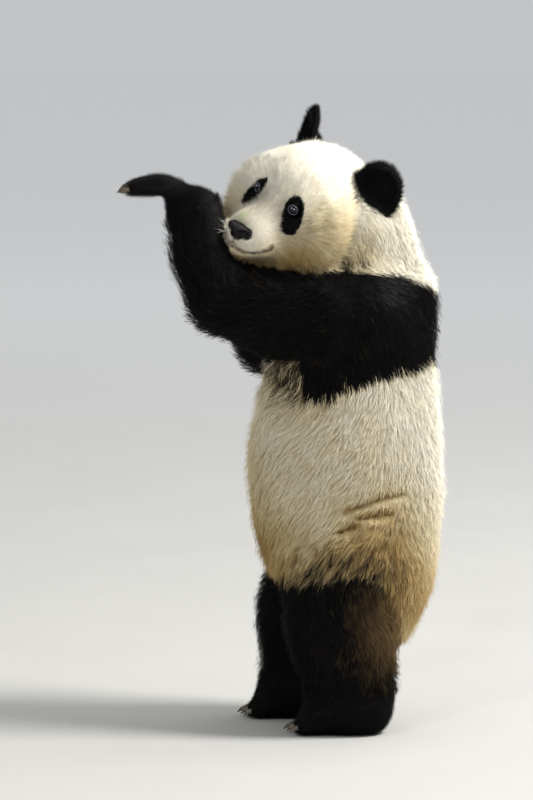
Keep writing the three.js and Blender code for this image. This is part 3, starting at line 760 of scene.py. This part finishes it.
def sculpt_face(surface):
    """Lids round the eyes, and the grooves and lips of the mouth."""
    local = to_head(surface.points)
    normals = surface.normals() @ HEAD_AXES
    on_face = local[:, 1] < -30 * MM
    push = np.zeros(len(local))
    tree = surface.tree()
    surface.mouths = [to_head(laid_on(tree, from_head(m))) for m in (MOUTH, mirrored(MOUTH))]
    surface.philtrum = to_head(laid_on(tree, from_head(PHILTRUM)))
    for mouth in surface.mouths:
        far = distance_to_line(local, mouth)
        groove = -MOUTH_DEPTH * bell(far, MOUTH_WIDTH)
        lips = LIP_RISE * bell(far - LIP_OFF, MOUTH_WIDTH)
        push += np.where(local[:, 0] * mouth[-1, 0] >= 0, 1, 0) * (groove + lips)
    push += -PHILTRUM_DEPTH * bell(distance_to_line(local, surface.philtrum), PHILTRUM_WIDTH)
    local += normals * (push * MM * on_face)[:, None]
    for side in SIDES.values():
        out = eye_frame(side)[2]
        ring, along, radial = eye_reach(local, side)
        close = on_face & (along > -6 * MM) & (local[:, 0] * side > 0)
        lid = np.sqrt(np.maximum(LID_RADIUS**2 - radial**2, 0)) + 0.4 * MM
        hug = close * (1 - ease(1.25, 2.1, ring))
        inside = close & (ring < 1.0)
        target = np.where(inside, -1 * MM, lid)
        share = np.where(inside, 1.0, hug)
        local += ((target - along) * share)[:, None] * out
    surface.points = from_head(local)


def fold_share(surface, width):
    """1 in the bottom of a fold over the hips, falling off over a width."""
    return bell(np.min([distance_to_line(surface.points, line) for line in surface.folds], axis=0), width)


def lie_of_coat(surface):
    """The way the hair points at each vertex, laid in the surface."""
    points, local = surface.points, to_head(surface.points)
    normals = surface.normals()

    def share(*names):
        return surface.share_of(*names)[:, None]

    left = (points[:, :1] > 0).astype(float)
    down = np.array([0, 0, -1.0])
    lie = share("torso", "tail") * (down + np.abs(normals[:, :1]) * np.array([0, -0.5, 0]))
    lie += share("neck", "shoulders") * (down + np.array([0, 0.25, 0]))
    lie += share("leg") * (down + np.array([0, 0.1, 0]))
    lie += share("foot") * np.array([0, -1, -0.35])
    for word, mask in (("left", left), ("right", 1 - left)):
        shoulder, elbow, wrist, palm = (np.array(p) * MM for p in ARMS[word])
        lie += mask * share("upper_arm") * unit(elbow - shoulder + np.array([0, 0, -0.06]))
        lie += mask * share("forearm") * unit(wrist - elbow)
        lie += mask * share("hand") * unit(palm - wrist)
    from_nose = unit(local - NOSE_TIP + np.array([0, 10, 6]) * MM)
    cheek = ease(-10 * MM, -60 * MM, local[:, 2])[:, None] * np.array([0, 0.3, -0.6])
    lie += share("head", "eye_patch") * turn_from_head(from_nose + cheek)
    for word, side in SIDES.items():
        mask = left if side > 0 else 1 - left
        low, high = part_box(word + "_ear")
        root = from_head((to_head(np.array((low + high) / 2)[None]) - np.array([side * 10, 0, 45]) * MM))
        lie += mask * share("ear") * unit(points - root) * 1.2
    lie = surface.soften(lie, 6)
    turn = 0.3 * waves(points, 0.12, 3) + 0.15 * waves(points, 0.045, 4)
    turn *= 1 - 0.7 * face_share(local)
    for _ in range(2):
        lie = unit(lie - (lie * normals).sum(1, keepdims=True) * normals)
    return unit(lie * np.cos(turn)[:, None] + np.cross(normals, lie) * np.sin(turn)[:, None])


def make_skin():
    """The one skin: the solids fused, rounded, drawn in by the coat's depth, with the face sculpted."""
    surface = Surface(fused(FLESH, VOXEL))
    kinds = nearest_regions(surface.points)
    surface.weights = surface.soften(np.eye(len(REGIONS))[kinds], 5)
    fine = surface.share_of("head", "eye_patch", "ear", "hand", "foot")
    fine -= surface.share_of("head") * ease(0, 50 * MM, to_head(surface.points)[:, 1])
    surface.relax(14, 0.5 * (1 - 0.85 * fine))
    before = surface.points.copy()
    face = face_share(to_head(before))
    depth = surface.soften(surface.weights @ COAT_TABLE[:, 1], 4)
    depth = depth * (1 - face) + FACE_COAT[1] * face
    normals = unit(surface.soften(surface.normals(), 4))
    surface.points = before - normals * (depth * MM)[:, None]
    surface.relax(3, 0.5 * (1 - face))
    surface.write()
    refine_face(surface)
    surface.relax(2, 0.5 * face_share(to_head(surface.points)))
    sculpt_face(surface)
    tree = surface.tree()
    surface.folds = [laid_on(tree, line) for fold in FOLDS for line in (fold, mirrored(fold))]
    fold = fold_share(surface, FOLD_WIDTH)
    depth = FOLD_DEPTH * fold * (1 + 0.4 * waves(surface.points, 0.025, 8))
    depth += WRINKLE * blobs(surface.points, WRINKLED) * waves(surface.points * [1, 0.5, 1.6], 0.03, 9)
    surface.points -= surface.normals() * depth[:, None]
    surface.folds = [line - [np.sign(line[0, 0]) * FOLD_DEPTH * 0.7, 0, 0] for line in surface.folds]
    surface.points[:, 2] = np.maximum(surface.points[:, 2], 0.6 * MM)
    surface.write()
    surface.weights = surface.soften(np.eye(len(REGIONS))[nearest_regions(surface.points)], 3)
    return surface


def measure_coat(surface, local, face):
    """The hair's length, height, half width and density at each vertex."""
    measures = surface.soften(surface.weights @ COAT_TABLE, 3) * (1 - face)[:, None]
    measures += face[:, None] * FACE_COAT
    length, height, surface.width, surface.density = measures.T
    on_head = surface.share_of("head")
    cheek = blobs(local, CHEEKS) * (on_head * (1 - face))
    rim = on_head * blobs(local, FACE_RIM)
    nape = on_head * ease(10 * MM, 70 * MM, local[:, 1])
    creased = 1 - 0.7 * fold_share(surface, FOLD_BARE)
    surface.length = length * (1 + 0.6 * cheek + 1.1 * rim + 0.6 * nape) * creased
    surface.height = height * (1 + 0.4 * cheek + 1.7 * rim) * creased


def mark_coat(surface, local):
    """Where the coat is black, brown, grey, green and stained, and where it takes painted shade, from 0 to 1.
    """
    points = surface.points
    on_head = surface.share_of("head")
    black = surface.share_of(*BLACK_REGIONS)
    hips = 1 - ease(0.50, 0.62, points[:, 2])
    dark = surface.soften(black, 2) * (1 - hips) + surface.soften(black, 12) * hips
    patch = surface.soften(surface.share_of("eye_patch"), 2)
    smoke_and_shade = blobs(points, SMOKE_AND_SHADE) * (1 - on_head) * (1 + 0.25 * waves(points, 0.03, 6))
    dark = np.clip(np.maximum(dark + 0.5 * patch, smoke_and_shade), 0, 1)
    surface.dark = dark + 0.5 * dark * (1 - dark) * waves(points, 0.02, 7)
    surface.brown = blobs(points, BROWN_IN_BLACK)
    surface.ash = blobs(local, GREY_AND_SHADE_ON_BRIDGE)
    surface.moss = blobs(local, GREEN_SPOT)
    stain = blobs(points, STAINS_AND_SHADE) * (1 - on_head) + blobs(local, FACE_STAINS_AND_SHADE) * on_head
    # Painted shade: the coat darkens along the bottom of each fold.
    stain += 0.5 * fold_share(surface, FOLD_WIDTH)
    near_black = 4 * surface.dark * (1 - surface.dark)
    surface.stain = np.clip(stain + 0.4 * near_black * (local[:, 2] < -90 * MM), 0, 1)


def mark_bare_skin(surface, local):
    """The lips, with their rosy ends, the lids, and every place where no hair grows."""
    bare = np.zeros(len(local))
    surface.rosy = np.zeros(len(local))
    ragged = waves(surface.points, 0.011, 10)
    for mouth in surface.mouths:
        beside = distance_to_line(local, mouth)
        bare = np.maximum(bare, 1 - ease(4.0 * MM, 7.0 * MM, beside + 0.5 * MM * ragged))
        surface.length *= 1 - 0.6 * bell(beside, 11 * MM)
        ends = np.minimum(*(np.linalg.norm(local - mouth[end], axis=1) for end in (0, -1)))
        surface.rosy = np.maximum(surface.rosy, 1 - ease(8 * MM, 30 * MM, ends))
    beside = distance_to_line(local, surface.philtrum)
    bare = np.maximum(bare, 1 - ease(1.2 * MM, 3.0 * MM, beside))
    for side in SIDES.values():
        ring, along, _ = eye_reach(local, side)
        bare = np.maximum(bare, (1 - ease(1.02, 1.3, ring)) * (along > -8 * MM))
    surface.bare = bare
    from_tip = np.linalg.norm((local - NOSE_TIP) / [1, 1, 0.6], axis=1)
    under_leather = 1 - ease(NOSE_EDGE * 0.9, NOSE_EDGE, from_tip)
    sole = (surface.points[:, 2] < 4 * MM) & (surface.normals()[:, 2] < -0.5)
    surface.closed = np.maximum(np.maximum(bare, under_leather), sole.astype(float))


def dress_fields(surface):
    """What the coat and the colours need at each vertex of the skin."""
    local = to_head(surface.points)
    measure_coat(surface, local, face_share(local))
    mark_coat(surface, local)
    mark_bare_skin(surface, local)
    from_nose = local - NOSE_TIP
    surface.flow = unit(from_nose) * 0.1 + from_nose * 0.12
    surface.lie = lie_of_coat(surface)


def unwrap(piece):
    """An unwrap of the skin's own shape, in the map named OFBake."""
    bpy.context.view_layer.objects.active = piece
    piece.select_set(True)
    piece.data.uv_layers.new(name="OFBake")
    bpy.ops.object.mode_set(mode="EDIT")
    bpy.ops.mesh.select_all(action="SELECT")
    bpy.ops.uv.smart_project(angle_limit=math.radians(66), island_margin=0.002)
    bpy.ops.object.mode_set(mode="OBJECT")
    piece.select_set(False)
    places = np.empty(len(piece.data.loops) * 2, np.float32)
    piece.data.uv_layers["OFBake"].data.foreach_get("uv", places)
    return places.reshape(-1, 2)


# ------------------------ the coat
PLANTS = ("length", "height", "width", "moss", "ash", "brown", "closed", "lie", "normal", "weights")
PATCH_WIDTH, PATCH_HEIGHT = 0.0015, 0.003  # a tuft's half width and its height in the map
CELL_NUMBERS = np.array([73856093, 19349663, 83492791])  # large primes that give each cell its own number


def sow(surface, places):
    """Roots spread over the skin, each with what the skin stores there."""
    triangles, corners = read_faces(surface.mesh)
    surface.normal = surface.normals()
    ends = surface.points[triangles]
    area = np.linalg.norm(np.cross(ends[:, 1] - ends[:, 0], ends[:, 2] - ends[:, 0]), axis=1) / 2
    total = np.cumsum(area * 1e4 * surface.density[triangles].mean(1))
    count = int(total[-1])
    chosen = np.searchsorted(total, (np.arange(count) + draw.random(count)) / count * total[-1])
    chosen = np.minimum(chosen, len(triangles) - 1)
    a, b = draw.random(count), draw.random(count)
    flip = a + b > 1
    a[flip], b[flip] = 1 - a[flip], 1 - b[flip]
    parts = np.stack([1 - a - b, a, b], 1)
    roots = {"point": (ends[chosen] * parts[:, :, None]).sum(1)}
    for name in PLANTS:
        values = getattr(surface, name)[triangles[chosen]]
        roots[name] = (values * (parts[:, :, None] if values.ndim == 3 else parts)).sum(1)
    roots["place"] = (places[corners[chosen]] * parts[:, :, None]).sum(1)
    keep = roots["closed"] < 0.5
    return {name: values[keep] for name, values in roots.items()}


def nearest(points, choices):
    """For each point, the number of the choice that lies nearest."""
    tree = KDTree(len(choices))
    for i, p in enumerate(choices.tolist()):
        tree.insert(p, i)
    tree.balance()
    return np.array([tree.find(p)[1] for p in points.tolist()])


def lead(points, spacing):
    """The leader of each root's clump, from a scatter of leaders about so far apart."""
    order = draw.permutation(len(points))
    cells = np.floor(points[order] / spacing).astype(np.int64)
    _, first = np.unique(cells @ CELL_NUMBERS, return_index=True)
    leaders = order[first]
    return leaders[nearest(points, points[leaders])]


def grow(surface, roots):
    """The bent line of each tuft, as points at root, middle and tip, with its tint and its marking."""
    count = len(roots["point"])
    normal, lie = unit(roots["normal"]), unit(roots["lie"])
    lie = unit(lie - (lie * normal).sum(1, keepdims=True) * normal)
    side = np.cross(normal, lie)
    length = roots["length"] * MM * draw.uniform(*LENGTH_SPREAD, count)
    guard = 1 + GUARD_RISE * (draw.random(count) < GUARDS)
    height = roots["height"] * MM * draw.uniform(*HEIGHT_SPREAD, count) * guard
    height = np.minimum(height, 0.85 * length)
    reach = np.sqrt(length**2 - height**2)
    stray = draw.normal(0, 0.08, count) + 0.06 * waves(roots["point"], 0.018, 5)
    lines = []
    for s in (0.0, 0.5, 1.0):
        rise = height * (1 - (1 - s) ** 2) - ROOT_DEPTH * (1 - s)
        drift = stray * length * s * s
        flat = roots["point"] + lie * (reach * s)[:, None] + side * drift[:, None]
        lines.append(flat + normal * rise[:, None])
    tint = draw.normal(0, 0.5, count).clip(-1, 1)
    loose = ease(SHORT_HAIR, LONG_HAIR, length)
    for spacing, strength in CLUMPS:
        leader = lead(roots["point"], spacing)
        gather = strength * draw.uniform(0.5, 1.3, count) * loose
        pull = (lines[2][leader] - lines[2]) * gather[:, None]
        far = np.linalg.norm(pull, axis=1, keepdims=True)
        pull *= np.minimum(1, 0.4 * length[:, None] / np.maximum(far, 1e-9))
        lines[1] += 0.3 * pull
        lines[2] += pull
    for line in lines[1:]:
        line[:, 2] = np.maximum(line[:, 2], 1.0 * MM)
    tint = 0.4 * tint + 0.6 * tint[leader]
    tilt = (draw.normal(0, 0.13, (count, 3)) * loose[:, None])[leader]
    # Black, stains and painted shade are read a little along the hair, so that their edges are drawn in
    # hairs.
    own = draw.uniform(-0.5, 0.6, count)
    shared = draw.uniform(-0.5, 0.6, count)[leader]
    astray = (own * 0.4 + shared * 0.6)[:, None]
    read_at = lines[1] + astray * (lines[2] - lines[0]) - normal * height[:, None] * 0.5
    middle = nearest(read_at, surface.points)
    dark = surface.dark[middle]
    roots["dark"] = dark + draw.normal(0, 0.2, count) * np.clip(5 * dark * (1 - dark), 0, 1)
    roots["stain"] = surface.stain[middle]
    return lines, unit(normal + tilt), side, tint


CORNERS = [(-1.0, 0.0), (1.0, 0.0), (0.0, 0.9)]  # across the lie and off the skin, in half widths


def tuft_mesh(name, roots, lines, normal, side, tint, bent):
    """Three-sided tapered tufts as one mesh, each with its root's colours and its own patch of the map."""
    count = len(tint)
    width = (roots["width"] * MM * draw.uniform(*WIDTH_SPREAD, count))[:, None]
    sections = [(lines[0], 0.8), (lines[1], 0.9)] if bent else [(lines[0], 1.0)]
    levels = []
    for line, wide in sections:
        for across, off in CORNERS:
            levels.append(line + side * width * wide * across + normal * width * wide * off)
    levels.append(lines[2])
    points = np.stack(levels, 1).reshape(-1, 3)
    size = len(levels)
    first = (np.arange(count) * size)[:, None]
    around = [(k, (k + 1) % 3) for k in range(3)]
    faces = []
    if bent:
        faces.append(np.concatenate([first + np.array([a, b, b + 3, a + 3]) for a, b in around]))
    top = size - 4
    faces.append(np.concatenate([first + np.array([top + a, top + b, size - 1]) for a, b in around]))
    mesh = mesh_from(name, points, faces)
    along = np.tile([0, 0, 0, 0.5, 0.5, 0.5, 1.0] if bent else [0, 0, 0, 1.0], count)
    for key in ("dark", "stain", "moss", "ash", "brown"):
        give(mesh, key, np.repeat(roots[key], size))
    give(mesh, "tint", np.repeat(tint, size))
    give(mesh, "tip", along)
    give(mesh, "root", np.repeat(roots["point"], size, axis=0))
    spread = np.tile([-1, 1, 0, -1, 1, 0, 0] if bent else [-1, 1, 0, 0], count) * PATCH_WIDTH
    places = np.repeat(roots["place"], size, axis=0) + np.stack([spread, (along - 0.5) * PATCH_HEIGHT], 1)
    corners = np.concatenate([f.ravel() for f in faces])
    mesh.uv_layers.new(name="OFBake").data.foreach_set("uv", places[corners].astype(np.float32).ravel())
    own = np.empty(len(points) * 3, np.float32)
    mesh.vertices.foreach_get("normal", own)
    blend = unit(own.reshape(-1, 3) * 0.3 + np.repeat(normal, size, axis=0) * 0.7)
    mesh.normals_split_custom_set_from_vertices(blend)
    return mesh


def coat_pieces(roots):
    """The pieces of the coat: their names, slots, whether their hair bends and which roots each holds."""
    kind = roots["weights"].argmax(1)
    x, _, z = roots["point"].T
    left, high = x > 0, z > WAIST
    in_face = to_head(roots["point"])[:, 1] < BACK_OF_FACE

    def held(*names):
        return np.isin(kind, [REGIONS.index(n) for n in names])

    yield "coat_face", "cream_fur", False, held("head") & in_face
    yield "coat_head", "cream_fur", False, held("head") & ~in_face
    yield "coat_ears_and_eyes", "black_fur", False, held("ear", "eye_patch")
    yield "coat_neck", "cream_fur", True, held("neck")
    yield "coat_shoulders", "black_fur", True, held("shoulders")
    for word, half in (("left", left), ("right", ~left)):
        yield f"coat_{word}_arm", "black_fur", True, held("upper_arm", "forearm") & half
        yield f"coat_{word}_hand", "black_fur", False, held("hand") & half
        yield f"coat_{word}_leg", "black_fur", True, held("leg") & half
        yield f"coat_{word}_foot", "black_fur", False, held("foot") & half
        yield f"coat_{word}_flank", "cream_fur", True, held("torso", "tail") & half & high
        yield f"coat_{word}_hip", "cream_fur", True, held("torso", "tail") & half & ~high


def make_coat(surface, places, finish):
    roots = sow(surface, places)
    lines, normal, side, tint = grow(surface, roots)
    for name, slot, bent, mask in coat_pieces(roots):
        part = {key: values[mask] for key, values in roots.items()}
        rows = [line[mask] for line in lines]
        mesh = tuft_mesh(name, part, rows, normal[mask], side[mask], tint[mask], bent)
        place(name, mesh, slot, finish)


# ------------------------ eyes, nose, claws, whiskers
def make_eye(word, side, finish):
    """A ball with a raised clear front, its iris marked by the angle from the gaze."""
    centre, across, out, up = eye_frame(side)
    shape = bmesh.new()
    bmesh.ops.create_uvsphere(shape, u_segments=96, v_segments=96, radius=1)
    mesh = bpy.data.meshes.new(f"{word}_eyeball")
    shape.to_mesh(mesh)
    shape.free()
    points = read_points(mesh)
    gaze = points[:, 2]
    radius = EYE_RADIUS * (1 + EYE_SWELL * ease(0.72, 1.0, gaze))
    local = (points[:, :1] * across + points[:, 1:2] * up + points[:, 2:] * out) * radius[:, None]
    mesh.vertices.foreach_set("co", from_head(centre + local).astype(np.float32).ravel())
    mesh.update()
    mesh.shade_smooth()
    give(mesh, "gaze", gaze)
    # Two small pale spots high on the front of the ball: painted highlights.
    highlight_spots = [np.linalg.norm(points[:, :2] - spot, axis=1) for spot in ([0.24, 0.24], [-0.2, 0.3])]
    give(mesh, "glint", (1 - ease(0.05, 0.12, np.minimum(*highlight_spots))) * (gaze > 0))
    give(mesh, "spoke", np.abs(np.arctan2(points[:, 1], points[:, 0])))
    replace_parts(place(f"{word}_eyeball", mesh, "eye", finish), f"{word}_eye")


def make_lid_rim(word, side, finish):
    """The wet dark edge of the lids, a thin round ring on the eye, its pale bluish grey a painted reflection.
    """
    centre, across, out, up = eye_frame(side)
    count, sides = 56, 10
    turns = np.linspace(0, math.tau, count, endpoint=False)
    sideways = LID_OPENING[0] * 0.98 * np.cos(turns)
    upright = LID_OPENING[1] * 0.98 * np.sin(turns)
    forward = np.sqrt(np.maximum((LID_RADIUS - 0.6 * MM) ** 2 - sideways**2 - upright**2, 0))
    path = from_head(centre + sideways[:, None] * across + upright[:, None] * up + forward[:, None] * out)
    along = unit(np.roll(path, -1, 0) - np.roll(path, 1, 0))
    outward = unit(np.cross(along, [0.31, 0.52, 0.79]))
    off = np.cross(along, outward)
    round_it = np.linspace(0, math.tau, sides, endpoint=False)[None, :, None]
    points = path[:, None] + LID_RIM * (np.cos(round_it) * outward[:, None] + np.sin(round_it) * off[:, None])
    faces = []
    for i in range(count):
        here, there = i * sides, (i + 1) % count * sides
        for a, b in ((j, (j + 1) % sides) for j in range(sides)):
            faces.append([here + a, here + b, there + b, there + a])
    mesh = mesh_from(f"{word}_lid_rim", points.reshape(-1, 3), [np.array(faces)])
    place(f"{word}_lid_rim", mesh, "black_fur", finish)


def make_nose(finish):
    """The bare leather of the nose, with deeper nostrils and a groove under them."""
    surface = Surface(fused(["nose"], NOSE_VOXEL))
    surface.relax(6, 0.5)
    local = to_head(surface.points)
    hollow = blobs(local, NOSTRILS)
    split = bell(local[:, 0], 1.6 * MM) * (1 - ease(-58 * MM, -50 * MM, local[:, 2]))
    local += (NOSTRIL_DEPTH * hollow + NOSE_SPLIT * split)[:, None] * np.array([0, 1, 0.25]) * MM
    surface.points = from_head(local)
    surface.write()
    give(surface.mesh, "hollow", np.maximum(hollow, split * 0.6))
    surface.mesh.shade_smooth()
    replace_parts(place("nose_leather", surface.mesh, "nose", finish), "nose")


def make_whiskers(surface, finish):
    """Single stiff pale hairs in a fan on each side of the muzzle, three-sided and tapered."""
    lot = np.random.default_rng(9)
    tree = surface.tree()
    rings = 6
    steps = np.linspace(0, 1, rings)[:, None]
    wide = WHISKER_RADIUS * (1 - 0.75 * steps)
    points, faces = [], []
    for word, (count, long, bed) in WHISKERS.items():
        side = SIDES[word]
        for _ in range(count):
            start = (np.array(bed) + lot.normal(0, 1, 3) * WHISKER_SPREAD) * [side, 1, 1] * MM
            hit, away, _, _ = tree.find_nearest(from_head(start[None])[0].tolist())
            hit, away = np.array(hit), np.array(away)
            way = turn_from_head(unit(np.array([side * 0.6, -0.7, -0.45]) + lot.normal(0, 0.3, 3)))
            way = unit(way + 0.3 * away)
            length = long * MM * lot.uniform(0.5, 1.2)
            sag = np.array([0, 0, -0.12]) * length * steps**2
            line = hit - ROOT_DEPTH * away + way * length * steps + sag
            across = unit(np.cross(way, [0, 0, 1.0]))
            off = np.cross(way, across)
            first = 3 * rings * len(points)
            edges = [line + wide * (across * math.cos(t) + off * math.sin(t)) for t in (0, 2.1, 4.2)]
            points.append(np.concatenate(edges))
            for k in range(3):
                a, b = first + k * rings, first + (k + 1) % 3 * rings
                faces += [[a + i, b + i, b + i + 1, a + i + 1] for i in range(rings - 1)]
    mesh = mesh_from("whiskers", np.concatenate(points), [np.array(faces)])
    place("whiskers", mesh, "cream_fur", finish)


def make_claws(finish):
    """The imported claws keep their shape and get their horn."""
    for name, node in solids.items():
        if "claw" in name:
            node.data.materials.clear()
            node.data.materials.append(finish)


# ------------------------ the panda
add_camera()
add_lights()
add_floor()
surface = make_skin()
dress_fields(surface)
skin = place("skin", surface.mesh, "cream_fur", skin_finish())
surface.mesh.shade_smooth()
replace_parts(skin, *FLESH)
places = unwrap(skin)
for key in ("dark", "stain", "bare", "rosy", "moss", "ash", "brown", "flow"):
    give(surface.mesh, key, getattr(surface, key))
for key in ("tint", "tip"):
    give(surface.mesh, key, np.zeros(len(surface.points)))
give(surface.mesh, "root", surface.points)
make_coat(surface, places, fur_finish())
ball_finish, rim_finish = eye_finish(), lid_finish()
for word, side in SIDES.items():
    make_eye(word, side, ball_finish)
    make_lid_rim(word, side, rim_finish)
make_nose(nose_finish())
make_whiskers(surface, whisker_finish())
make_claws(claw_finish())
